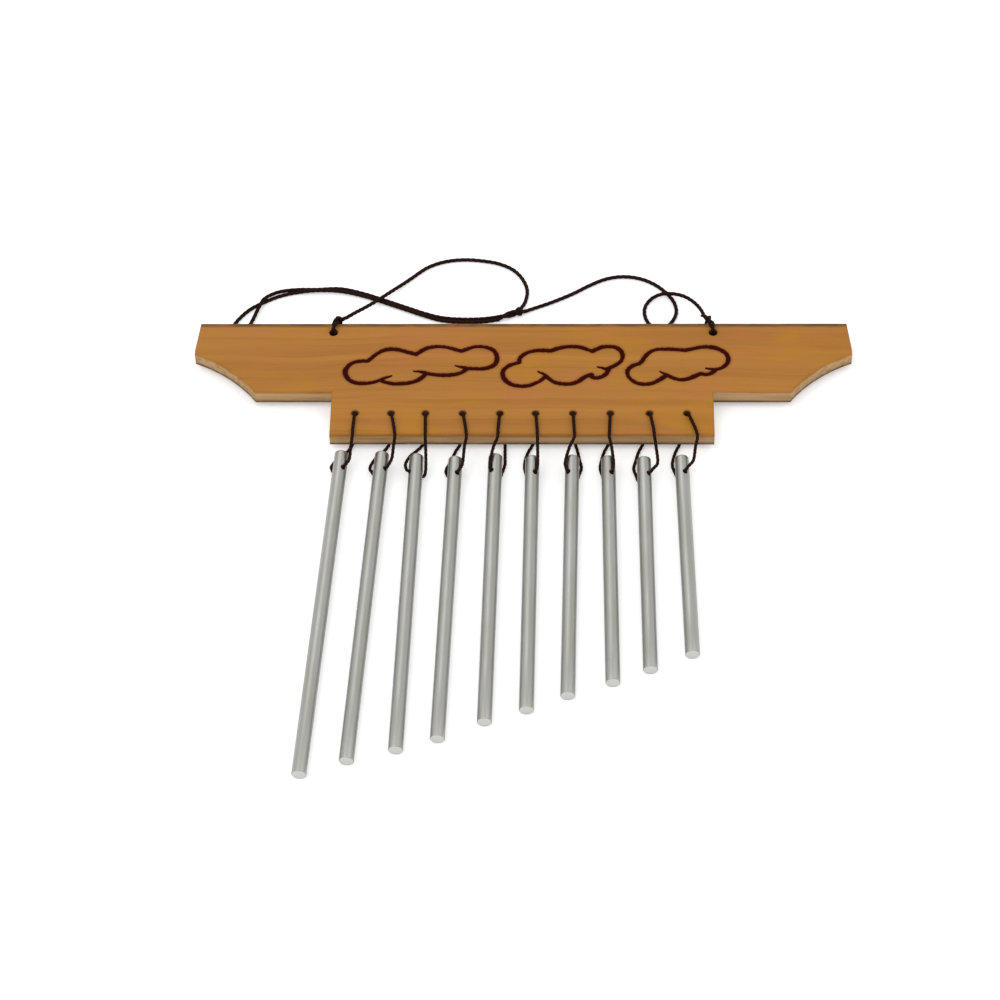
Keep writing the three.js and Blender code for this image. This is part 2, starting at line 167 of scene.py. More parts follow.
# How each rod's loop lies: the side its front strand goes to, where that strand passes the bar's lower edge,
# how far it stands off the rod, and how far above the cross-hole and round the rod, in degrees, it does so;
# then where the back strand passes the bar's lower edge, where it stands out beside the rod, from its axis,
# above the cross-hole and above the surface, and its share of the way across to the bar at the rod's end.
LOOPS = [
    (1, -0.6, 0.5, 4.5, 34, -1.1, 4.4, 4.8, 1.5, 0.55),
    (1, 2.1, 1.1, 5.5, 28, -0.9, 5.1, 3.8, 2.2, 0.45),
    (1, 0.3, 0.2, 4.5, 12, -1.2, 4.8, 6.6, 4.0, 0.25),
    (1, 1.9, 0, 4.5, 40, -1.2, 4.2, 6.0, 1.4, 0.4),
    (-1, -0.8, 0, 4, 60, 2.3, 4.2, 8.2, 1.5, 0),
    (1, 0.9, 0, 4, 55, -1.3, 3.5, 7.8, 1.4, 0.1),
    (-1, 0.6, 0, 4.5, 44, 1.2, 4.1, 7.2, 1.6, 0.35),
    (1, -0.5, 0, 4, 58, -1.1, 3.55, 7.4, 1.4, 0.18),
    (1, 2.0, 2.0, 6, 18, -3.1, 4.5, 7.4, 1.6, 0.25),
    (1, 4.2, 1.5, 6, 30, -3.4, 4.0, 8.4, 1.5, 0.12),
]

# The hanging cord's routes
LOW = HANGING_CORD_DIAMETER_MM / 2 + 0.08  # millimetres, where the cord lies on the surface
LEFT_CORD_ROUTE_MM = [
    (-81.8, 129.9, 8.8), (-77.8, 134.4, 7.5), (-73.0, 139.8, 5.6), (-68.4, 145.6, 3.6),
    (-64.6, 149.4, 3.2), (-60.2, 154.2, 2.4), (-56.4, 158.6, 1.4), (-52.7, 162.6, LOW),
    (-45.4, 169.4, LOW), (-37.9, 173.0, LOW), (-29.3, 174.4, LOW), (-20.5, 173.8, LOW),
    (-12.0, 171.8, LOW), (-5.2, 167.8, LOW), (-0.6, 161.5, LOW), (1.5, 154.4, LOW),
    (0.6, 147.2, LOW), (-1.4, 142.4, 1.5),
]
RIGHT_CORD_ROUTE_MM = [
    (83.4, 132.0, 7.8), (81.7, 138.2, 6.0), (78.6, 144.0, 4.6), (74.3, 148.4, 3.6),
    (69.2, 150.4, 3.1), (64.6, 150.6, 2.7), (60.8, 149.8, 1.6), (57.9, 147.2, LOW),
    (56.3, 143.4, LOW), (56.1, 139.3, LOW), (57.4, 134.6, LOW), (60.2, 130.9, LOW),
    (64.4, 130.5, LOW), (68.2, 133.8, LOW), (70.8, 140.2, LOW), (69.9, 146.8, LOW),
    (66.6, 152.6, LOW), (61.2, 158.2, LOW), (54.5, 162.0, LOW), (46.6, 163.4, LOW),
    (38.6, 162.0, LOW), (30.7, 157.8, LOW), (22.7, 152.4, LOW), (12.6, 146.8, LOW),
    (4.6, 143.1, LOW), (0.2, 140.6, 1.5),
]
HANGING_LOOP_ROUTE_MM = [
    (-10.2, 137.9, 1.2), (-18.0, 136.7, LOW), (-28.0, 136.3, LOW), (-38.0, 137.3, LOW),
    (-46.4, 140.1, LOW), (-54.5, 143.7, LOW), (-64.0, 147.9, LOW), (-75.0, 152.6, LOW),
    (-86.0, 155.7, LOW), (-97.0, 155.3, LOW), (-106.0, 155.2, LOW), (-113.6, 153.7, 1.3),
    (-117.6, 151.0, 2.2), (-121.3, 147.1, 2.9), (-124.0, 141.2, 1.8), (-126.0, 135.6, LOW),
    (-128.4, 129.6, LOW), (-130.6, 126.6, LOW), (-133.6, 126.4, LOW), (-134.9, 129.6, LOW),
    (-133.9, 133.6, LOW), (-131.0, 138.4, LOW), (-127.0, 143.0, LOW), (-121.3, 147.0, LOW),
    (-115.0, 150.6, LOW), (-107.0, 153.2, LOW), (-97.0, 153.5, 2.2), (-86.0, 153.5, 1.6),
    (-75.0, 150.8, 1.3), (-64.0, 146.1, 1.3), (-54.5, 141.9, 1.3), (-46.4, 138.3, 1.3),
    (-38.0, 135.5, LOW), (-28.0, 134.5, LOW), (-18.0, 134.9, LOW), (-11.4, 135.9, 1.2),
]
TIE_ROUTE_MM = [
    (84.9, 127.7, 11.5), (85.7, 125.0, 12.7), (86.6, 121.4, 12.9), (87.0, 119.3, 12.0),
    (87.0, 118.8, 9.6), (87.0, 118.9, 4.2), (87.0, 119.4, 2.0), (86.7, 121.4, 1.5),
    (86.1, 125.2, 1.56), (85.2, 127.5, 3.5), (84.8, 127.4, 6.2),
]
TIE_END_MM = (84.7, 128.2, 9.0)  # each tie's last turn is hidden inside its knot
RIGHT_TIE_KNOT_MM = ((84.6, 128.0, 9.9), (83.7, 131.2, 8.2))
LEFT_TIE_KNOT_MM = ((-85.3, 127.6, 9.4), (-82.5, 129.3, 9.0))
TAG_END_MM = [(84.1, 129.0, 9.6), (83.1, 129.8, 9.7), (81.9, 130.6, 9.4)]
CENTRE_KNOT_MM = ((-2.2, 140.2, 1.9), (-9.8, 137.1, 1.9))

# The clouds' strokes. Each is smooth, starts and ends in a point of the outline, and is marked "tail" if its
# last end is loose.
CLOUDS_MM = [
    ([(-70.7, 101.2), (-73.5, 101.2), (-77.2, 100.2), (-79.5, 98.0), (-80.6, 94.8), (-79.9, 91.7),
      (-77.9, 89.1), (-75.0, 87.8), (-71.8, 87.6), (-68.2, 88.1), (-64.8, 89.4), (-62.3, 91.0),
      (-59.5, 92.1)], "tail"),
    ([(-70.7, 101.2), (-67.9, 104.3), (-65.2, 106.8), (-62.4, 108.2), (-59.5, 108.5), (-56.1, 108.0),
      (-52.6, 106.7), (-48.6, 105.3)], ""),
    ([(-48.6, 105.3), (-46.9, 106.9), (-44.7, 108.6), (-41.6, 109.8), (-38.2, 110.1), (-34.7, 109.7),
      (-30.9, 108.3), (-28.1, 107.3)], ""),
    ([(-28.1, 107.3), (-25.5, 108.5), (-22.7, 109.8), (-19.3, 110.1), (-16.0, 109.4), (-13.2, 107.5),
      (-11.8, 104.0), (-12.1, 100.2), (-14.0, 97.9), (-17.3, 96.6), (-21.3, 96.5), (-24.8, 96.7),
      (-27.4, 97.4), (-30.6, 98.4)], "tail"),
    ([(-25.0, 96.6), (-27.8, 94.2), (-31.2, 92.9), (-35.5, 92.5), (-39.5, 92.8), (-43.5, 93.7), (-46.4, 94.7),
      (-49.4, 95.0)], "tail"),
    ([(-43.7, 93.7), (-45.4, 91.3), (-47.9, 89.2), (-51.3, 87.9), (-55.3, 87.4), (-59.3, 87.5), (-62.7, 88.5),
      (-64.6, 89.5)], ""),
    ([(-1.5, 100.3), (-4.0, 99.5), (-6.7, 98.0), (-8.6, 95.7), (-9.0, 93.3), (-8.3, 90.5), (-6.4, 88.0),
      (-3.6, 86.4), (-0.3, 85.9), (2.9, 86.3), (5.9, 87.8), (8.6, 89.6), (10.6, 92.1)], ""),
    ([(-1.5, 100.3), (-1.5, 102.4), (0.0, 104.7), (2.7, 106.7), (6.1, 107.6), (9.6, 107.7),
      (13.0, 107.4)], ""),
    ([(13.0, 107.4), (15.8, 108.9), (19.2, 109.8), (22.7, 110.1), (26.1, 109.7), (29.0, 108.5),
      (31.8, 107.2)], ""),
    ([(31.8, 107.2), (33.8, 108.5), (36.3, 109.8), (39.2, 110.1), (42.0, 109.7), (44.6, 107.6), (45.5, 104.4),
      (44.8, 101.4), (42.5, 98.9), (40.0, 97.3), (37.7, 96.4), (36.0, 97.1), (34.1, 97.6)], "tail"),
    ([(39.2, 96.6), (37.8, 93.2), (35.6, 91.5), (32.8, 90.9), (30.4, 92.2)], ""),
    ([(31.5, 93.0), (29.8, 92.5), (27.8, 91.0), (25.6, 89.0), (22.7, 87.5), (19.3, 87.2), (16.2, 87.7),
      (13.4, 89.1), (11.5, 91.0), (9.7, 93.1), (7.1, 94.8)], "tail"),
    ([(52.8, 99.5), (50.2, 98.4), (48.1, 96.3), (47.5, 94.0), (48.2, 91.5), (50.0, 89.1), (52.6, 87.5),
      (55.4, 87.1), (58.2, 87.5), (60.7, 88.8), (63.3, 90.7), (65.4, 92.6)], ""),
    ([(52.8, 99.5), (54.1, 100.9), (55.4, 103.4), (57.0, 105.7), (59.6, 107.8), (62.8, 108.5), (66.4, 108.5),
      (70.4, 108.2), (74.4, 107.8)], ""),
    ([(74.4, 107.8), (77.4, 108.7), (80.7, 109.6), (84.1, 109.9), (87.6, 109.2), (90.8, 107.5), (93.0, 104.9),
      (93.5, 101.8), (92.4, 99.0), (90.1, 96.9), (87.8, 96.1), (85.6, 96.3), (83.2, 96.7)], "tail"),
    ([(87.6, 95.9), (85.5, 93.8), (83.2, 93.0), (81.0, 93.4), (78.4, 92.1), (75.2, 90.5), (72.1, 89.8),
      (69.0, 90.5), (66.2, 92.1), (64.3, 93.5), (62.4, 94.8)], "tail"),
]


def add_object(name, data):
    piece = bpy.data.objects.new(name, data)
    bpy.context.scene.collection.objects.link(piece)
    return piece


# ---------- camera

def make_camera():
    elevation, azimuth, roll = (radians(a) for a in (CAMERA_ELEVATION, CAMERA_AZIMUTH, CAMERA_ROLL))
    forward = Vector((sin(azimuth) * cos(elevation), cos(azimuth) * cos(elevation), -sin(elevation)))
    level = Vector((cos(azimuth), -sin(azimuth), 0))
    raised = level.cross(forward)
    right = cos(roll) * level + sin(roll) * raised
    up = right.cross(forward)
    data = bpy.data.cameras.new("camera")
    data.lens = CAMERA_LENS_MM
    data.sensor_width = CAMERA_SENSOR_MM
    data.clip_start, data.clip_end = 0.05, 50
    camera = add_object("camera", data)
    camera.matrix_world = Matrix((right, up, -forward)).transposed().to_4x4()
    camera.location = Vector(CAMERA_TARGET) - CAMERA_DISTANCE * forward
    bpy.context.scene.camera = camera


make_camera()


# ---------- lines and cords

def distances(line):
    """How far along a line each of its points is."""
    steps = norm(np.diff(line, axis=0), axis=1)
    return np.concatenate([[0], np.cumsum(steps)])


def smooth_line(points, spacing):
    """Evenly spaced points on a centripetal Catmull-Rom curve through the points given."""
    p = np.array(points, float)
    p = np.vstack([2 * p[0] - p[1], p, 2 * p[-1] - p[-2]])
    fine = []
    for a, b, c, d in zip(p, p[1:], p[2:], p[3:]):
        ta = 0.0
        tb = ta + norm(b - a) ** 0.5
        tc = tb + norm(c - b) ** 0.5
        td = tc + norm(d - c) ** 0.5
        t = np.linspace(tb, tc, 24, endpoint=False)[:, None]
        ab = ((tb - t) * a + (t - ta) * b) / (tb - ta)
        bc = ((tc - t) * b + (t - tb) * c) / (tc - tb)
        cd = ((td - t) * c + (t - tc) * d) / (td - tc)
        abc = ((tc - t) * ab + (t - ta) * bc) / (tc - ta)
        bcd = ((td - t) * bc + (t - tb) * cd) / (td - tb)
        fine.append(((tc - t) * abc + (t - tb) * bcd) / (tc - tb))
    fine = np.vstack([*fine, p[-2]])
    along = distances(fine)
    wanted = np.linspace(0, along[-1], max(2, round(along[-1] / spacing)) + 1)
    return np.stack([np.interp(wanted, along, fine[:, k]) for k in range(fine.shape[1])], axis=1)


def length_of(line):
    return float(distances(line)[-1])


def frames_along(line):
    """At each point of a line, two unit vectors across it that turn as little as they can."""
    tangents = np.gradient(line, axis=0)
    tangents /= norm(tangents, axis=1)[:, None]
    first = np.cross(tangents[0], [0, 0, 1.0])
    if norm(first) < 0.1:
        first = np.cross(tangents[0], [1.0, 0, 0])
    across = [first / norm(first)]
    for tangent in tangents[1:]:
        kept = across[-1] - tangent * (across[-1] @ tangent)
        across.append(kept / norm(kept))
    across = np.array(across)
    return across, np.cross(tangents, across)


def new_object(name, vertices, faces):
    mesh = bpy.data.meshes.new(name)
    mesh.from_pydata(np.asarray(vertices).tolist(), [], faces)
    mesh.update()
    return add_object(name, mesh)


def ply_section():
    """Radii round a twisted cord's section, as shares of its outer radius."""
    between = 2 * pi / CORD_PLIES
    ply = 1 / (1 + 1 / sin(pi / CORD_PLIES))
    centre = 1 - ply
    radii = []
    for side in range(CORD_SIDES):
        angle = (2 * pi * side / CORD_SIDES + between / 2) % between - between / 2
        inside = max(0.0, ply ** 2 - (centre * sin(angle)) ** 2)
        radii.append(1 - PLY_SOFTNESS * (1 - centre * cos(angle) - sqrt(inside)))
    return np.array(radii)


def cord_arrays(line, diameter, start=0.0):
    """Vertices, faces and UVs of a twisted cord along a line, in the line's unit, with rounded ends. start is
    the angle that its plies start at."""
    sides = CORD_SIDES
    section = ply_section()
    along = distances(line)
    across, over = frames_along(line)
    tangents = np.cross(across, over)
    radius = diameter / 2
    last = len(line) - 1
    # each ring's place on the line, how far it is pushed out past it, and its share of the full radius
    rounding = [(0.5, 0.55), (0.22, 0.86)]
    places = [(0, -push, share) for push, share in rounding]
    places += [(k, 0.0, 1.0) for k in range(len(line))]
    places += [(last, push, share) for push, share in reversed(rounding)]
    rings, u = [], []
    for k, push, share in places:
        turn = start + 2 * pi * along[k] / (CORD_LAY * diameter)
        angles = turn + 2 * pi * np.arange(sides) / sides
        reach = (radius * share * section)[:, None]
        ring = line[k] + push * radius * tangents[k]
        ring = ring + reach * (np.cos(angles)[:, None] * across[k] + np.sin(angles)[:, None] * over[k])
        rings.append(ring)
        u.append((along[k] + push * radius) / diameter)
    v = [side / sides for side in range(sides + 1)]
    faces, uvs = [], []
    for r in range(len(rings) - 1):
        for s in range(sides):
            n = (s + 1) % sides
            faces.append((r * sides + s, r * sides + n, (r + 1) * sides + n, (r + 1) * sides + s))
            uvs.append(((u[r], v[s]), (u[r], v[s + 1]), (u[r + 1], v[s + 1]), (u[r + 1], v[s])))
    first_of_last = (len(rings) - 1) * sides
    faces.append(tuple(range(sides))[::-1])
    uvs.append(tuple((u[0], v[s]) for s in range(sides))[::-1])
    faces.append(tuple(first_of_last + s for s in range(sides)))
    uvs.append(tuple((u[-1], v[s]) for s in range(sides)))
    return np.vstack(rings), faces, uvs


def cord_object(name, parts):
    """One mesh object from the arrays of one or more cords, given in millimetres."""
    vertices, faces, uvs = [], [], []
    for part_vertices, part_faces, part_uvs in parts:
        base = sum(len(v) for v in vertices)
        vertices.append(part_vertices)
        faces += [tuple(base + i for i in face) for face in part_faces]
        uvs += part_uvs
    piece = new_object(name, np.vstack(vertices) * MM, faces)
    layer = piece.data.uv_layers.new(name="along")
    layer.data.foreach_set("uv", [value for face in uvs for uv in face for value in uv])
    piece.data.polygons.foreach_set("use_smooth", [True] * len(piece.data.polygons))
    piece.data.materials.append(cord_material())
    return piece


def helix_round(line, radius, pitch, phase):
    """A line that winds round another one."""
    across, over = frames_along(line)
    angles = phase + 2 * pi * distances(line) / pitch
    return line + radius * (np.cos(angles)[:, None] * across + np.sin(angles)[:, None] * over)


# ---------- materials

def srgb(red, green, blue):
    """A linear colour with alpha from 0-255 screen values."""
    values = [c / 255 for c in (red, green, blue)]
    linear = [c / 12.92 if c <= 0.04045 else ((c + 0.055) / 1.055) ** 2.4 for c in values]
    return (*linear, 1.0)


class Nodes:
    """A short way to write a material's node tree."""

    def __init__(self, name):
        self.material = bpy.data.materials.new(name)
        self.material.use_nodes = True
        self.tree = self.material.node_tree
        self.shader = self.tree.nodes["Principled BSDF"]

    def add(self, kind, settings=None, **inputs):
        node = self.tree.nodes.new(kind)
        for key, value in (settings or {}).items():
            setattr(node, key, value)
        for key, value in inputs.items():
            self.put(node.inputs[key.replace("_", " ")], value)
        return node

    def put(self, socket, value):
        if isinstance(value, bpy.types.NodeSocket):
            self.tree.links.new(value, socket)
        else:
            socket.default_value = value

    def set(self, **inputs):
        for key, value in inputs.items():
            self.put(self.shader.inputs[key.replace("_", " ")], value)

    def noise(self, source, scale, detail, roughness=0.5, distortion=0.0):
        """Noise with a scale of its own along each axis."""
        place = self.add("ShaderNodeMapping", Vector=source, Scale=scale).outputs["Vector"]
        node = self.add("ShaderNodeTexNoise", Vector=place, Scale=1.0, Detail=detail, Roughness=roughness,
                        Distortion=distortion)
        return node.outputs["Fac"]

    def steps(self, value, low, high, low_to=0.0, high_to=1.0):
        """value from low to high, smoothly mapped to low_to to high_to."""
        node = self.add("ShaderNodeMapRange", {"interpolation_type": "SMOOTHSTEP"}, Value=value, From_Min=low,
                        From_Max=high, To_Min=low_to, To_Max=high_to)
        return node.outputs["Result"]

    def math(self, operation, a, b):
        node = self.add("ShaderNodeMath", {"operation": operation})
        self.put(node.inputs[0], a)
        self.put(node.inputs[1], b)
        return node.outputs["Value"]

    def blend(self, share, a, b):
        node = self.add("ShaderNodeMix", {"data_type": "RGBA"})
        self.put(node.inputs[0], share)
        self.put(node.inputs[6], a)
        self.put(node.inputs[7], b)
        return node.outputs[2]

    def bump(self, height, distance, strength, normal=None):
        node = self.add("ShaderNodeBump", Height=height, Distance=distance, Strength=strength)
        if normal is not None:
            self.put(node.inputs["Normal"], normal)
        return node.outputs["Normal"]


@functools.cache
def cord_material():
    """Dark brown waxed cord: fibres run along its plies, with duller, paler high spots."""
    n = Nodes("cord")
    uv = n.add("ShaderNodeUVMap", {"uv_map": "along"}).outputs["UV"]
    fibres = n.noise(uv, (0.9, 42, 1), 3.0, 0.6, 0.4)
    patches = n.noise(uv, (0.35, 3, 1), 2.0)
    colour = n.blend(n.steps(fibres, 0.35, 0.7), srgb(24, 7, 3), srgb(48, 20, 10))
    colour = n.blend(n.steps(patches, 0.4, 0.75, 0.0, 0.55), colour, srgb(28, 11, 6))
    normal = n.bump(fibres, 0.00012, 0.7)
    n.set(Base_Color=colour, Roughness=n.steps(fibres, 0.3, 0.8, 0.55, 0.8), Normal=normal)
    n.set(Specular_IOR_Level=0.09)
    return n.material


@functools.cache
def wood_material():
    """Oiled pine with the grain along the bar. The mesh holds how near each point is to a burnt line, whether
    it is on a sawn side, and how much painted shade it takes."""
    n = Nodes("wood")
    place = n.add("ShaderNodeTexCoord").outputs["Object"]
    wander = n.noise(place, (9, 26, 26), 2.0)
    swayed = n.add("ShaderNodeVectorMath", {"operation": "MULTIPLY_ADD"})
    for socket, value in zip(swayed.inputs, (wander, (0, 0.011, 0.005), place)):
        n.put(socket, value)
    swayed = swayed.outputs["Vector"]
    bands = n.noise(swayed, (2.2, 150, 90), 3.0, 0.55)
    lines = n.noise(swayed, (9, 620, 420), 3.0, 0.6)
    pores = n.noise(swayed, (60, 1900, 1500), 2.0, 0.6)
    golden = n.noise(place, (16, 48, 30), 3.0, 0.6, 0.6)
    rosy = n.noise(place, (26, 60, 41), 2.0, 0.5, 0.4)
    colour = n.blend(n.steps(bands, 0.33, 0.68), srgb(164, 110, 51), srgb(178, 122, 59))
    colour = n.blend(n.steps(golden, 0.45, 0.72, 0.0, 0.7), colour, srgb(179, 123, 42))
    colour = n.blend(n.steps(rosy, 0.5, 0.75, 0.0, 0.6), colour, srgb(177, 111, 65))
    colour = n.blend(n.steps(lines, 0.52, 0.72, 0.0, 0.3), colour, srgb(140, 88, 36))
    colour = n.blend(n.steps(pores, 0.6, 0.78, 0.0, 0.25), colour, srgb(112, 70, 28))
    # the sawn sides are paler and greyer where no oil has run; painted shade darkens the back edge, the
    # holes' walls and the top edge
    side = n.add("ShaderNodeAttribute", {"attribute_name": "side"}).outputs["Fac"]
    where = n.add("ShaderNodeSeparateXYZ", Vector=place).outputs
    level = n.steps(where["Y"], *(value * MM for value in (*OILED_FROM_Y_MM, *OILED_TO_MM)))
    level = n.math("ADD", level, n.steps(rosy, 0.3, 0.7, -0.0005, 0.0005))
    side = n.math("MULTIPLY", side, n.steps(n.math("SUBTRACT", where["Z"], level), 0.0003, -0.0004))
    sawn = n.blend(n.steps(lines, 0.35, 0.7), srgb(200, 170, 131), srgb(170, 135, 94))
    colour = n.blend(n.math("MULTIPLY", side, 0.75), colour, sawn)
    # painted shade held in the mesh: dark along the back edge, inside the holes and on the top edge's wall
    back = n.add("ShaderNodeAttribute", {"attribute_name": "grime"}).outputs["Fac"]
    ragged = n.steps(n.noise(place, (120, 500, 900), 3.0), 0.25, 0.6, 0.55, 1.0)
    # painted shade on the front face along the top edge
    top_edge = n.steps(where["Y"], *((BAR_HIGH.y - down) * MM for down in TOP_SHADE_MM), 0.0, 0.85)
    shade_share = n.math("MAXIMUM", back, top_edge)
    # painted shade: a grey brown, made ragged by noise
    colour = n.blend(n.math("MULTIPLY", shade_share, ragged), colour, srgb(82, 64, 47))
    # the burnt lines
    reach = n.add("ShaderNodeAttribute", {"attribute_name": "line_reach"}).outputs["Fac"]
    wobble = n.noise(place, (900, 900, 900), 2.0)
    reach = n.math("ADD", reach, n.steps(wobble, 0.2, 0.8, -0.16, 0.16))
    colour = n.blend(n.steps(reach, 2.4, 0.9, 0.0, 0.4), colour, srgb(116, 60, 22))
    colour = n.blend(n.steps(reach, 1.25, 0.88), colour, srgb(66, 7, 0))
    colour = n.blend(n.steps(reach, 0.9, 0.25, 0.0, 0.75), colour, srgb(42, 3, 0))
    fine = n.bump(pores, 0.00009, 0.5)
    normal = n.bump(lines, 0.00016, 0.6, fine)
    rough = n.math("ADD", n.steps(lines, 0.3, 0.75, 0.46, 0.62), n.steps(reach, 1.2, 0.8, 0.0, 0.22))
    n.set(Base_Color=colour, Roughness=rough, Normal=normal, Specular_IOR_Level=0.06)
    return n.material


@functools.cache
def rod_material():
    """Drawn aluminium: fine scratches along the rod, and duller handled patches."""
    n = Nodes("drawn_aluminium")
    uv = n.add("ShaderNodeUVMap", {"uv_map": "along"}).outputs["UV"]
    draw = n.noise(uv, (1.2, 160, 1), 3.0, 0.65)
    hair = n.noise(uv, (6, 420, 1), 2.0, 0.6)
    patches = n.noise(uv, (0.5, 4, 1), 3.0, 0.55)
    colour = n.blend(n.steps(patches, 0.35, 0.7), srgb(184, 184, 180), srgb(176, 175, 166))
    colour = n.blend(n.steps(draw, 0.45, 0.75, 0.0, 0.5), colour, srgb(150, 151, 147))
    rough = n.math("ADD", n.steps(patches, 0.3, 0.7, 0.27, 0.36), n.steps(hair, 0.4, 0.8, 0.0, 0.1))
    normal = n.bump(draw, 0.00005, 0.5, n.bump(hair, 0.00002, 0.5))
    n.set(Base_Color=colour, Metallic=1.0, Roughness=rough, Normal=normal)
    return n.material


@functools.cache
def cut_material():
    """A saw-cut aluminium end, bright, with the blade's curved marks."""
    n = Nodes("cut_aluminium")
    place = n.add("ShaderNodeTexCoord").outputs["Object"]
    marks = n.add("ShaderNodeTexWave", {"wave_type": "BANDS", "bands_direction": "DIAGONAL"}, Vector=place,
                  Scale=1500, Distortion=2.5, Detail=2.0, Detail_Scale=0.6).outputs["Fac"]
    colour = n.blend(n.steps(marks, 0.2, 0.9), srgb(226, 226, 223), srgb(208, 208, 204))
    rough = n.steps(marks, 0.0, 1.0, 0.42, 0.58)
    n.set(Base_Color=colour, Metallic=0.65, Roughness=rough, Normal=n.bump(marks, 0.00003, 0.6))
    return n.material


# ---------- the cords

def rod_length(index):
    return LONGEST_ROD_MM - index * ROD_LENGTH_STEP_MM


def rod_place(index):
    """Where a rod that runs from the origin along -Y lies, in millimetres: its upper end on its cord, its
    lower end on the surface."""
    top_x, top_y, lean, _ = RODS[index]
    tilt = asin((CROSS_HOLE_Z_MM - ROD_DIAMETER_MM / 2) / (rod_length(index) - CROSS_HOLE_DROP_MM))
    top_end = (top_x, top_y, CROSS_HOLE_Z_MM + CROSS_HOLE_DROP_MM * sin(tilt))
    leaned = Matrix.Translation(top_end) @ Matrix.Rotation(radians(lean), 4, "Z")
    return leaned @ Matrix.Rotation(tilt, 4, "X")


def rod_cord_route(index):
    """The route of one rod's loop, in millimetres, from its knot behind the bar and back to it."""
    side, front_x, front_bow, rise, over, back_x, back_out, back_up, back_z, back_in = LOOPS[index]
    turned, highest = radians(RODS[index][3]), radians(over)
    hole_x, hole_y = ROD_HOLE_X_MM[index], ROD_HOLE_Y_MM
    place = rod_place(index)
    rod_radius = ROD_DIAMETER_MM / 2
    clear = ROD_CORD_DIAMETER_MM / 2 + FINGER_GAP_MM
    near = rod_radius + ROD_CORD_DIAMETER_MM / 2
    bottom, back, front = BAR_LOW.y, BAR_LOW.z, BAR_HIGH.z
    front_z, behind_z = front + clear, back - clear

    def by_rod(way, reach, up, turn):
        """A point by the rod: how far off its axis, how far above the cross-hole, how far round it."""
        point = Vector((way * reach * cos(turn), up - CROSS_HOLE_DROP_MM, reach * sin(turn)))
        return tuple(place @ point)

    front_bend = by_rod(side, rod_radius + clear + front_bow, rise, highest)
    back_bend = (*by_rod(-side, back_out, back_up, 0)[:2], back_z)
    back_reach = hypot(back_out, back_z - CROSS_HOLE_Z_MM)
    back_turn = atan2(back_z - CROSS_HOLE_Z_MM, back_out)
    under_reach = max(near + 0.25, 0.5 * (near + back_reach))
    to_back_x = hole_x + back_x - back_bend[0]
    return [
        (hole_x, hole_y, back + 0.15),
        (hole_x, hole_y, back + 4),
        (hole_x, hole_y - 0.2, front),
        (hole_x + 0.12 * front_x, hole_y - 1.5, front_z + 0.1),
        (hole_x + 0.5 * front_x, hole_y - 5.5, front_z),
        (hole_x + 0.9 * front_x, bottom + 1.2, front_z + 0.1),
        (hole_x + 1.05 * front_x, bottom - 2.3, front + 0.5),
        (0.5 * (hole_x + 1.1 * front_x + front_bend[0]), bottom - 6.5, 0.5 * (front + 0.5 + front_bend[2])),
        front_bend,
        by_rod(side, near + 0.5 * front_bow + 0.35, 0.35 * rise, 0.35 * highest + 0.65 * turned),
        by_rod(side, near + 0.2, 0.2, turned),
        by_rod(side, 0.72 * rod_radius, 0, turned),
        by_rod(side, 0, 0, turned),
        by_rod(-side, 0.72 * rod_radius, 0, -turned),
        by_rod(-side, near + 0.1, 0.1, -turned),
        by_rod(-side, under_reach, 0.4 * back_up, 0.5 * (back_turn - turned)),
        back_bend,
        (back_bend[0] + back_in * to_back_x, RODS[index][1] + 3, 0.4 + 0.5 * back_z),
        (back_bend[0] + (0.45 + 0.6 * back_in) * to_back_x, bottom - 2.2, 1.2),
        (hole_x + back_x, bottom + 1, behind_z - 0.2),
        (hole_x + 0.5 * back_x, hole_y - 6, behind_z - 0.4),
        (hole_x, hole_y - ROD_KNOT_WIDTH_MM / 2 - ROD_CORD_DIAMETER_MM / 2 + 0.1, 1.425),
    ]


def make_rod_cord(index):
    """One rod's loop."""
    line = smooth_line(rod_cord_route(index), CORD_SPACING_MM)
    piece = cord_object(f"loop_cord_{index + 1}", [cord_arrays(line, ROD_CORD_DIAMETER_MM, start=index)])
    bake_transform(piece)
    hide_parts(f"rod_cord_{index + 1}")
    length_of(line) * MM


def overhand(centre, width, height, strand, turn):
    """A tight overhand knot's line: a trefoil that fits the width and height given."""
    t = np.linspace(0, 2 * pi, 130)[:-4]
    reach = (width - strand) / 2
    rise = (height - strand) / 2
    radial = reach * (0.68 + 0.32 * np.cos(3 * t + pi))
    x = radial * np.cos(2 * t + turn)
    y = radial * np.sin(2 * t + turn)
    z = rise * np.sin(3 * t)
    return np.stack([x, y, z], axis=1) + np.array(centre)


def make_rod_knot(index):
    """The knot behind the bar that holds a rod's loop, with its two cut ends."""
    low, high = (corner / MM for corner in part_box(f"rod_knot_{index + 1}"))
    middle = (low + high) / 2
    strand = ROD_CORD_DIAMETER_MM * KNOT_STRAND
    knot = overhand(middle, high.x - low.x + 0.5, high.z - low.z, strand, 0.7 * index)
    parts = [cord_arrays(knot, strand)]
    for side in (-1, 1):
        tail = smooth_line([
            (middle.x + 0.5 * side, middle.y + 0.6, 1.5),
            (middle.x + 1.0 * side, middle.y + 1.8, 1.2),
            (middle.x + (1.5 + 0.1 * index) * side, middle.y + 3.6 + 0.15 * index * side, 0.75),
        ], CORD_SPACING_MM)
        parts.append(cord_arrays(tail, strand, start=side))
    piece = cord_object(f"loop_knot_{index + 1}", parts)
    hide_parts(f"rod_knot_{index + 1}")
    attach(piece, "board")


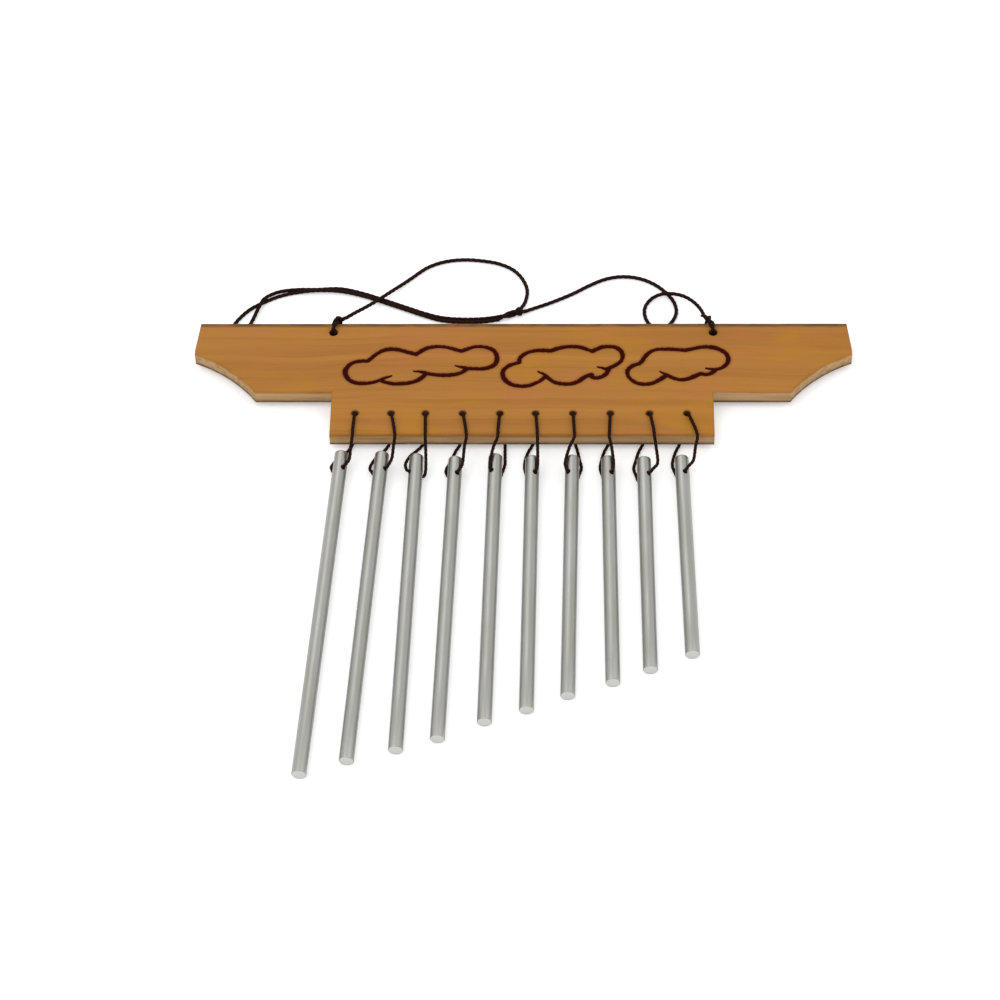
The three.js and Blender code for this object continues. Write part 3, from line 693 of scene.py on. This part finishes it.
def make_tie(side_name, way, knot_ends, cord_start, tag_end):
    """The doubled strand through a top hole, its two strands twisted together, and the wrap that closes it.
    way is the hole's side, 1 for +X."""
    flip = np.array([way, 1, 1])
    strand = HANGING_CORD_FULL_MM * TIE_STRAND
    core = smooth_line(np.array([*TIE_ROUTE_MM, TIE_END_MM]) * flip, CORD_SPACING_MM)
    parts = []
    for half in (0, pi):
        line = helix_round(core, strand / 2, TIE_TURN_MM, half)
        parts.append(cord_arrays(line, strand, start=half))
    tie = cord_object(f"top_tie_{side_name}", parts)
    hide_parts(f"tie_{side_name}")
    start, end = (np.array(p) for p in knot_ends)
    middle = (start + end) / 2
    axis = smooth_line([core[0], start, middle, end, np.array(cord_start)], KNOT_SPACING_MM)
    parts = [cord_arrays(axis, HANGING_CORD_FULL_MM)]
    wrapped = smooth_line([start, middle, end], KNOT_SPACING_MM)
    parts.append(cord_arrays(helix_round(wrapped, WRAP_RADIUS_MM, WRAP_TURN_MM, 0), WRAP_STRAND_MM))
    if tag_end:
        parts.append(cord_arrays(smooth_line(tag_end, CORD_SPACING_MM), TAG_END_STRAND_MM))
    knot = cord_object(f"top_knot_{side_name}", parts)
    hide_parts(f"tie_knot_{side_name}")
    for piece in (tie, knot):
        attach(piece, "board")
    return tie, knot


def make_centre_knot():
    """The knot that gathers the two strands and the doubled loop: a lump that both strands run into, then the
    loop's strands laid together."""
    start, end = (np.array(p) for p in CENTRE_KNOT_MM)
    strand = HANGING_CORD_FULL_MM
    lump = overhand(start + np.array((0, 0, 0.05)), *CENTRE_LUMP_MM, strand, 0.4)
    parts = [cord_arrays(lump, strand)]
    for last in (LEFT_CORD_ROUTE_MM[-2:], RIGHT_CORD_ROUTE_MM[-2:]):
        before, tip = (np.array(p) for p in last)
        neck = smooth_line([tip + 0.25 * (before - tip), tip, start], CORD_SPACING_MM)
        parts.append(cord_arrays(neck, strand * 1.02))
    axis = smooth_line([start, (start + end) / 2, end, end + 0.15 * (end - start)], 0.2)
    for half in (0, pi):
        parts.append(cord_arrays(helix_round(axis, strand * 0.42, 16, half + 0.9), strand, start=half))
    piece = cord_object("gathering_knot", parts)
    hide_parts("centre_knot")
    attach(piece, "board")
    return piece


def make_hanging_cord(name, node, route):
    line = smooth_line(route, CORD_SPACING_MM)
    piece = cord_object(name, [cord_arrays(line, HANGING_CORD_FULL_MM)])
    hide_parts(node)
    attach(piece, "board")
    length_of(line) * MM


def make_cords():
    for index in range(len(RODS)):
        make_rod_cord(index)
        make_rod_knot(index)
    left_pieces = make_tie("left", -1, LEFT_TIE_KNOT_MM, LEFT_CORD_ROUTE_MM[0], None)
    right_pieces = make_tie("right", 1, RIGHT_TIE_KNOT_MM, RIGHT_CORD_ROUTE_MM[0], TAG_END_MM)
    centre = make_centre_knot()
    make_hanging_cord("cord_left", "hanging_cord_left", LEFT_CORD_ROUTE_MM)
    make_hanging_cord("cord_right", "hanging_cord_right", RIGHT_CORD_ROUTE_MM)
    make_hanging_cord("cord_loop", "hanging_loop", HANGING_LOOP_ROUTE_MM)


make_cords()


# ---------- the rods

def lathe(profile, sides):
    """Vertices and faces of a profile turned round the Y axis. profile is (radius, y), from one end's middle
    to the other's."""
    vertices, faces, rings = [], [], []
    for radius, y in profile:
        if radius == 0:
            rings.append([len(vertices)])
            vertices.append((0, y, 0))
            continue
        rings.append(list(range(len(vertices), len(vertices) + sides)))
        for side in range(sides):
            angle = 2 * pi * side / sides
            vertices.append((radius * cos(angle), y, radius * sin(angle)))
    for a, b in zip(rings, rings[1:]):
        for side in range(sides):
            following = (side + 1) % sides
            if len(a) == 1:
                faces.append((a[0], b[side], b[following]))
            elif len(b) == 1:
                faces.append((a[side], b[0], a[following]))
            else:
                faces.append((a[side], b[side], b[following], a[following]))
    return vertices, faces


def rod_profile(length):
    radius = ROD_DIAMETER_MM / 2
    inner = radius - ROD_CHAMFER_MM
    end = [(0, 0), (0.8, -0.01), (1.7, 0.0), (inner - 0.05, 0.0), (inner + 0.06, -0.05)]
    end += [(radius - 0.05, -ROD_CHAMFER_MM + 0.05), (radius, -ROD_CHAMFER_MM - 0.06)]
    body = [(radius, -step) for step in (1.5, 5, 13)]
    body += [(radius, -13 - (length - 20) * k / 6) for k in range(1, 6)]
    other = [(r, -length - y) for r, y in reversed(end)]
    return end + body + other


def drill(rod, index):
    """Cuts a rod's cross-hole, with eased rims."""
    radius, hole = ROD_DIAMETER_MM / 2, CROSS_HOLE_DIAMETER_MM / 2
    half = [(hole, radius - CROSS_HOLE_EASE_MM), (hole + 1.1, radius + 1), (0, radius + 1)]
    bit = new_object("bit", *lathe([(r, -y) for r, y in reversed(half)] + half, CROSS_HOLE_SIDES))
    turn = Matrix.Rotation(-LOOPS[index][0] * radians(RODS[index][3]), 4, "Y")
    bit.data.transform(turn @ Matrix.Rotation(pi / 2, 4, "Z"))
    bit.data.transform(Matrix.Translation((0, -CROSS_HOLE_DROP_MM, 0)))
    cut = rod.modifiers.new("cut", "BOOLEAN")
    cut.object = bit
    cut.solver = "EXACT"
    mesh = bpy.data.meshes.new_from_object(rod.evaluated_get(bpy.context.evaluated_depsgraph_get()))
    rod.modifiers.remove(cut)
    rod.data = mesh
    bpy.data.objects.remove(bit)


def unroll(mesh, offset):
    """UVs along a rod and once round it."""
    layer = mesh.uv_layers.new(name="along")
    for polygon in mesh.polygons:
        points = [mesh.vertices[vertex].co for vertex in polygon.vertices]
        angles = [atan2(p.z, p.x) / (2 * pi) for p in points]
        over_seam = max(angles) - min(angles) > 0.5
        for corner, p, angle in zip(polygon.loop_indices, points, angles):
            layer.data[corner].uv = (p.y / 20 + offset, angle + (over_seam and angle < 0))


def make_rod(index):
    length = rod_length(index)
    rod = new_object(f"chime_rod_{index + 1}", *lathe(rod_profile(length), ROD_SIDES))
    rod.data.materials.append(rod_material())
    rod.data.materials.append(cut_material())
    for polygon in rod.data.polygons:
        from_end = min(-polygon.center.y, length + polygon.center.y)
        polygon.material_index = 1 if from_end < 0.02 else 0
    drill(rod, index)
    mesh = rod.data
    unroll(mesh, 3 * index)
    mesh.transform(Matrix.Diagonal((MM, MM, MM, 1)) @ rod_place(index))
    mesh.polygons.foreach_set("use_smooth", [True] * len(mesh.polygons))
    mesh.set_sharp_from_angle(angle=SHARP_EDGE)
    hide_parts(f"rod_{index + 1}")
    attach(rod, f"rod_{index + 1}")


for rod_index in range(len(RODS)):
    make_rod(rod_index)


# ---------- the bar

def bar_outline():
    """The bar's outline as points, anticlockwise."""
    tip_x, top_y = BAR_HIGH.x, BAR_HIGH.y
    tip = np.array((tip_x, top_y - TIP_DROP_MM - TIP_EDGE_MM))
    wing = np.array((COVE_END_X_MM, top_y - WING_DEPTH_MM))
    chord = wing - tip
    reach = sqrt(COVE_RADIUS_MM ** 2 - chord @ chord / 4)
    outward = np.array((-chord[1], chord[0])) / norm(chord)
    centre = (tip + wing) / 2 + outward * reach
    from_angle = atan2(*(tip - centre)[::-1])
    to_angle = atan2(*(wing - centre)[::-1])
    cove = [tuple(centre + COVE_RADIUS_MM * np.array((cos(a), sin(a))))
            for a in np.linspace(from_angle, to_angle, COVE_POINTS)]
    block = BLOCK_WIDTH_MM / 2
    end = [(BAR_TOP_LENGTH_MM / 2, top_y), (tip_x, top_y - TIP_DROP_MM)]
    half = [*end, *cove, (block, top_y - WING_DEPTH_MM), (block, BAR_LOW.y)]
    clockwise = half + [(-x, y) for x, y in reversed(half)]
    corners = clockwise[::-1]
    ring = []
    for start, end in zip(corners, corners[1:] + corners[:1]):
        start, end = np.array(start), np.array(end)
        pieces = max(1, round(norm(end - start) / OUTLINE_STEP_MM))
        ring += [tuple(start + (end - start) * k / pieces) for k in range(pieces)]
    return np.array(ring)


def inset(ring, distance):
    """An anticlockwise ring moved inwards by a distance."""
    before = ring - np.roll(ring, 1, axis=0)
    after = np.roll(ring, -1, axis=0) - ring
    normals = []
    for edge in (before, after):
        unit = edge / norm(edge, axis=1)[:, None]
        normals.append(np.stack([-unit[:, 1], unit[:, 0]], axis=1))
    total = normals[0] + normals[1]
    share = 1 + (normals[0] * normals[1]).sum(axis=1)
    return ring + distance * total / share[:, None]


def burnt_strokes():
    """Each stroke as a fine line with its half width at each point, in millimetres."""
    strokes = []
    for points, kind in CLOUDS_MM:
        line = smooth_line(points, LINE_STEP_MM)
        along = np.arange(len(line)) * LINE_STEP_MM
        wave = 1 + 0.08 * np.sin(along / 5.5 + line[0, 0]) + 0.05 * np.sin(along / 1.9 + line[0, 1])
        half = LINE_HALF_WIDTH_MM * wave
        if kind == "tail":
            to_end = (len(line) - 1 - np.arange(len(line))) * LINE_STEP_MM
            half = half * (0.45 + 0.55 * np.clip(to_end / TAIL_LENGTH_MM, 0, 1))
        strokes.append((line, half))
    return strokes


def line_reach(points, strokes):
    """How many half widths each point is from the nearest burnt line, at most UNBURNT."""
    nearest = np.full(len(points), UNBURNT)
    for line, half in strokes:
        a, b = line[:-1], line[1:]
        edge = b - a
        for first in range(0, len(points), CHUNK):
            chunk = points[first:first + CHUNK]
            t = ((chunk[:, None] - a) * edge).sum(axis=2) / (edge * edge).sum(axis=1)
            t = np.clip(t, 0, 1)
            foot = a + t[..., None] * edge
            width = half[:-1] + t * (half[1:] - half[:-1])
            ratio = norm(chunk[:, None] - foot, axis=2) / width
            near = nearest[first:first + CHUNK]
            np.minimum(near, ratio.min(axis=1), out=near)
    return nearest


def inside(points, ring):
    """Which points lie inside a ring."""
    result = np.zeros(len(points), bool)
    for (x1, y1), (x2, y2) in zip(ring, np.roll(ring, -1, axis=0)):
        crosses = (y1 > points[:, 1]) != (y2 > points[:, 1])
        if y1 != y2:
            at = x1 + (points[:, 1] - y1) * (x2 - x1) / (y2 - y1)
            result ^= crosses & (points[:, 0] < at)
    return result


class Solid:
    """The bar's vertices and faces as they are gathered, with how sawn each vertex is, how much painted shade
    it takes, and how many half widths it is from a burnt line."""

    def __init__(self):
        self.vertices, self.faces = [], []
        self.side, self.grime, self.reach = [], [], []

    def add(self, points, z, side, grime=0.0, reach=UNBURNT):
        count = len(points)
        first = len(self.vertices)
        columns = (np.broadcast_to(value, count) for value in (z, grime, reach))
        for (x, y), height, shade_share, r in zip(points, *columns):
            self.vertices.append((x, y, height))
            self.side.append(side)
            self.grime.append(float(shade_share))
            self.reach.append(float(r))
        return list(range(first, first + count))

    def bridge(self, a, b):
        """Faces between two rings of vertices."""
        for k in range(len(a)):
            following = (k + 1) % len(a)
            self.faces.append((a[k], b[k], b[following], a[following]))


def circle(x, y, radius):
    angles = 2 * pi * np.arange(HOLE_SIDES) / HOLE_SIDES
    return np.stack([x + radius * np.cos(angles), y + radius * np.sin(angles)], axis=1)


def skin(solid, ring, holes, extra, z_of, reach_of, flip):
    """One face of the bar: a triangle mesh between its outline, the holes' rims and the extra points. Returns
    the vertices of each rim, the outline's first."""
    outlines = [ring, *holes]
    counts = [len(outline) for outline in outlines]
    loops = [loop.tolist() for loop in np.split(np.arange(sum(counts)), np.cumsum(counts)[:-1])]
    edges = [edge for loop in loops for edge in zip(loop, loop[1:] + loop[:1])]
    kept = inside(extra, inset(ring, RIM_GAP_MM))
    for hole in holes:
        middle = hole.mean(axis=0)
        kept &= norm(extra - middle, axis=1) > norm(hole[0] - middle) + RIM_GAP_MM
    points = np.vstack([*outlines, extra[kept]])
    made = delaunay_2d_cdt([Vector(p) for p in points], edges, [], 0, 1e-4)
    flat = np.array([tuple(p) for p in made[0]])
    reach = reach_of(flat)
    indices = solid.add(flat, z_of(reach), 0.0, reach=reach)
    triangles = np.array(made[2])
    middles = flat[triangles].mean(axis=1)
    wanted = inside(middles, ring)
    for hole in holes:
        wanted &= ~inside(middles, hole)
    for triangle in triangles[wanted]:
        face = tuple(indices[k] for k in triangle)
        solid.faces.append(face[::-1] if flip else face)
    where = {old: indices[new] for new, olds in enumerate(made[3]) for old in olds}
    return [[where[k] for k in loop] for loop in loops]


def filler(spacing, seed):
    """Loosely spread points over the bar."""
    spread = random.Random(seed)
    xs = np.arange(BAR_LOW.x, BAR_HIGH.x, spacing)
    ys = np.arange(BAR_LOW.y, BAR_HIGH.y, spacing * 0.87)
    points = [(x + (row % 2) * spacing / 2 + spread.uniform(-0.1, 0.1) * spacing, y)
              for row, y in enumerate(ys) for x in xs]
    return np.array(points)


def line_rows(strokes):
    """Rows of points along and beside the burnt lines, thinned where lines meet."""
    taken, kept = {}, []
    gap = LINE_POINT_GAP_MM

    def offer(point):
        cell = (int(point[0] // gap), int(point[1] // gap))
        for dx in (-1, 0, 1):
            for dy in (-1, 0, 1):
                for other in taken.get((cell[0] + dx, cell[1] + dy), []):
                    if hypot(point[0] - other[0], point[1] - other[1]) < gap * 0.8:
                        return
        taken.setdefault(cell, []).append(point)
        kept.append(point)

    for offset in LINE_OFFSETS:
        for line, half in strokes:
            along = np.gradient(line, axis=0)
            along /= norm(along, axis=1)[:, None]
            left = np.stack([-along[:, 1], along[:, 0]], axis=1)
            for way in ((1, -1) if offset else (1,)):
                row = line + way * (offset * half)[:, None] * left
                for point in row:
                    offer(tuple(point))
            for end, way in ((0, -1), (-1, 1)):
                if offset:
                    for spin in np.linspace(-pi / 2, pi / 2, 5):
                        ahead = way * along[end]
                        aim = cos(spin) * ahead + sin(spin) * np.array((-ahead[1], ahead[0]))
                        offer(tuple(line[end] + offset * half[end] * aim))
    return np.array(kept)


def outside_wall(solid, outline, last):
    """The wall from the front face's edge, last, to the back face's."""
    front, back = BAR_HIGH.z, BAR_LOW.z
    on_top = TOP_EDGE_SHADE * (outline[:, 1] > BAR_HIGH.y - 0.01)  # painted shade right across the top edge
    rings = []
    for step in (1, 2, 3, 4):
        angle = step * pi / 8
        ring = inset(outline, FRONT_EASE_MM * (1 - sin(angle)))
        rings.append((ring, front - FRONT_EASE_MM * (1 - cos(angle)), 0.25 * step, on_top))
    # painted shade, growing darker towards the back edge, which lies on the floor
    for share, grime in ((0.45, 0.0), (0.72, 0.1), (0.84, 0.75)):
        rings.append((outline, front + (back - front) * share, 1.0, np.maximum(grime, on_top)))
    # the back edge's rounding takes full painted shade
    for step in (0, 1, 2, 3):
        angle = step * pi / 8
        ring = inset(outline, BACK_EASE_MM * (1 - cos(angle)))
        rings.append((ring, back + BACK_EASE_MM * (1 - sin(angle)), 1.0, 1.0))
    for ring in rings:
        following = solid.add(*ring)
        solid.bridge(last, following)
        last = following
    return last


def hole_wall(solid, hole, front_rim, back_rim):
    """The wall of one hole, with its front rim eased."""
    x, y, radius = hole
    front, back = BAR_HIGH.z, BAR_LOW.z
    last = front_rim
    for out, height in ((0.1, front - 0.14), (0, front - 0.4), (0, (front + back) / 2), (0, back + 0.4)):
        # painted shade on every ring of the hole's wall
        following = solid.add(circle(x, y, radius + out * HOLE_EASE_MM), height, 0.6, 0.65)
        solid.bridge(following, last)
        last = following
    solid.bridge(back_rim, last)


def bar_solid():
    outline = bar_outline()
    strokes = burnt_strokes()
    rod_holes = [(x, ROD_HOLE_Y_MM, ROD_HOLE_DIAMETER_MM / 2) for x in ROD_HOLE_X_MM]
    top_holes = [(way * TOP_HOLE_X_MM, TOP_HOLE_Y_MM, TOP_HOLE_DIAMETER_MM / 2) for way in (-1, 1)]
    holes = rod_holes + top_holes
    rims = [circle(x, y, radius + HOLE_EASE_MM) for x, y, radius in holes]
    dark_rim_points = [circle(x, y, r + HOLE_EASE_MM + out) for x, y, r in rod_holes for out in (0.35, 0.8)]
    rows = line_rows(strokes)
    loose = filler(FRONT_SPACING_MM, 3)
    loose = loose[line_reach(loose, strokes) > CLEAR_OF_LINES]

    def carved(reach):
        """The front face's height: a groove in each burnt line, with a low lip beside it."""
        inside_line = np.clip(1 - reach, 0, 1)
        lip = np.exp(-((reach - 1.25) / 0.22) ** 2)
        return BAR_HIGH.z - LINE_DEPTH_MM * np.sin(inside_line * pi / 2) + 0.03 * lip

    def front_reach(points):
        """The burnt lines' reach, and a dark rim painted round each rod's hole in the burnt lines' colours.
        """
        reach = line_reach(points, strokes)
        for x, y, radius in rod_holes:
            off = np.hypot(points[:, 0] - x, points[:, 1] - y) - radius - HOLE_EASE_MM
            reach = np.minimum(reach, 1.1 + 2.2 * np.clip(off, 0, 3))
        return reach

    solid = Solid()
    front_rims = skin(solid, inset(outline, FRONT_EASE_MM), rims, np.vstack([rows, loose, *dark_rim_points]),
                      carved, front_reach, False)
    back_rims = skin(solid, inset(outline, BACK_EASE_MM), rims, filler(BACK_SPACING_MM, 4),
                     lambda reach: BAR_LOW.z, lambda points: UNBURNT, True)
    solid.bridge(outside_wall(solid, outline, front_rims[0]), back_rims[0])
    for hole, front_rim, back_rim in zip(holes, front_rims[1:], back_rims[1:]):
        hole_wall(solid, hole, front_rim, back_rim)
    return solid


def make_bar():
    solid = bar_solid()
    bar = new_object("roof_bar", np.array(solid.vertices) * MM, solid.faces)
    for name, values in (("side", solid.side), ("grime", solid.grime), ("line_reach", solid.reach)):
        bar.data.attributes.new(name, "FLOAT", "POINT").data.foreach_set("value", values)
    cleaned = bmesh.new()
    cleaned.from_mesh(bar.data)
    bmesh.ops.delete(cleaned, geom=[v for v in cleaned.verts if not v.link_faces], context="VERTS")
    bmesh.ops.recalc_face_normals(cleaned, faces=cleaned.faces)
    cleaned.to_mesh(bar.data)
    cleaned.free()
    bar.data.polygons.foreach_set("use_smooth", [True] * len(bar.data.polygons))
    bar.data.materials.append(wood_material())
    weighted = bar.modifiers.new("weighted", "WEIGHTED_NORMAL")
    weighted.mode = "FACE_AREA"
    weighted.weight = 80
    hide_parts("board")
    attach(bar, "board")


make_bar()


# ---------- floor and light

def make_stage():
    floor = new_object("floor", [(-4, -4, 0), (4, -4, 0), (4, 4, 0), (-4, 4, 0)], [(0, 1, 2, 3)])
    floor.location.z = -0.00005
    n = Nodes("floor")
    glow = n.add("ShaderNodeLightPath").outputs["Is Camera Ray"]
    n.set(Base_Color=(0.88, 0.88, 0.88, 1), Roughness=0.9, Specular_IOR_Level=0.1)
    n.set(Emission_Color=(1, 1, 1, 1), Emission_Strength=n.math("MULTIPLY", glow, 0.35))
    floor.data.materials.append(n.material)

    world = bpy.data.worlds.new("studio")
    bpy.context.scene.world = world
    world.use_nodes = True
    background = world.node_tree.nodes["Background"]
    background.inputs["Color"].default_value = (1, 1, 1, 1)
    background.inputs["Strength"].default_value = 0.8

    for name, place, size, power in (
        ("key", (-0.7, -0.5, 1.6), 1.2, 7.0),
        ("fill", (0.9, -0.3, 1.4), 1.2, 3.0),
        ("behind", (-0.35, 1.0, 1.1), 0.8, 1.3),
    ):
        data = bpy.data.lights.new(name, "AREA")
        data.size = size
        data.energy = power
        lamp = add_object(name, data)
        lamp.location = place
        lamp.rotation_euler = (-Vector(place)).to_track_quat("-Z", "Y").to_euler()
    bpy.context.scene.view_settings.view_transform = "Standard"


make_stage()
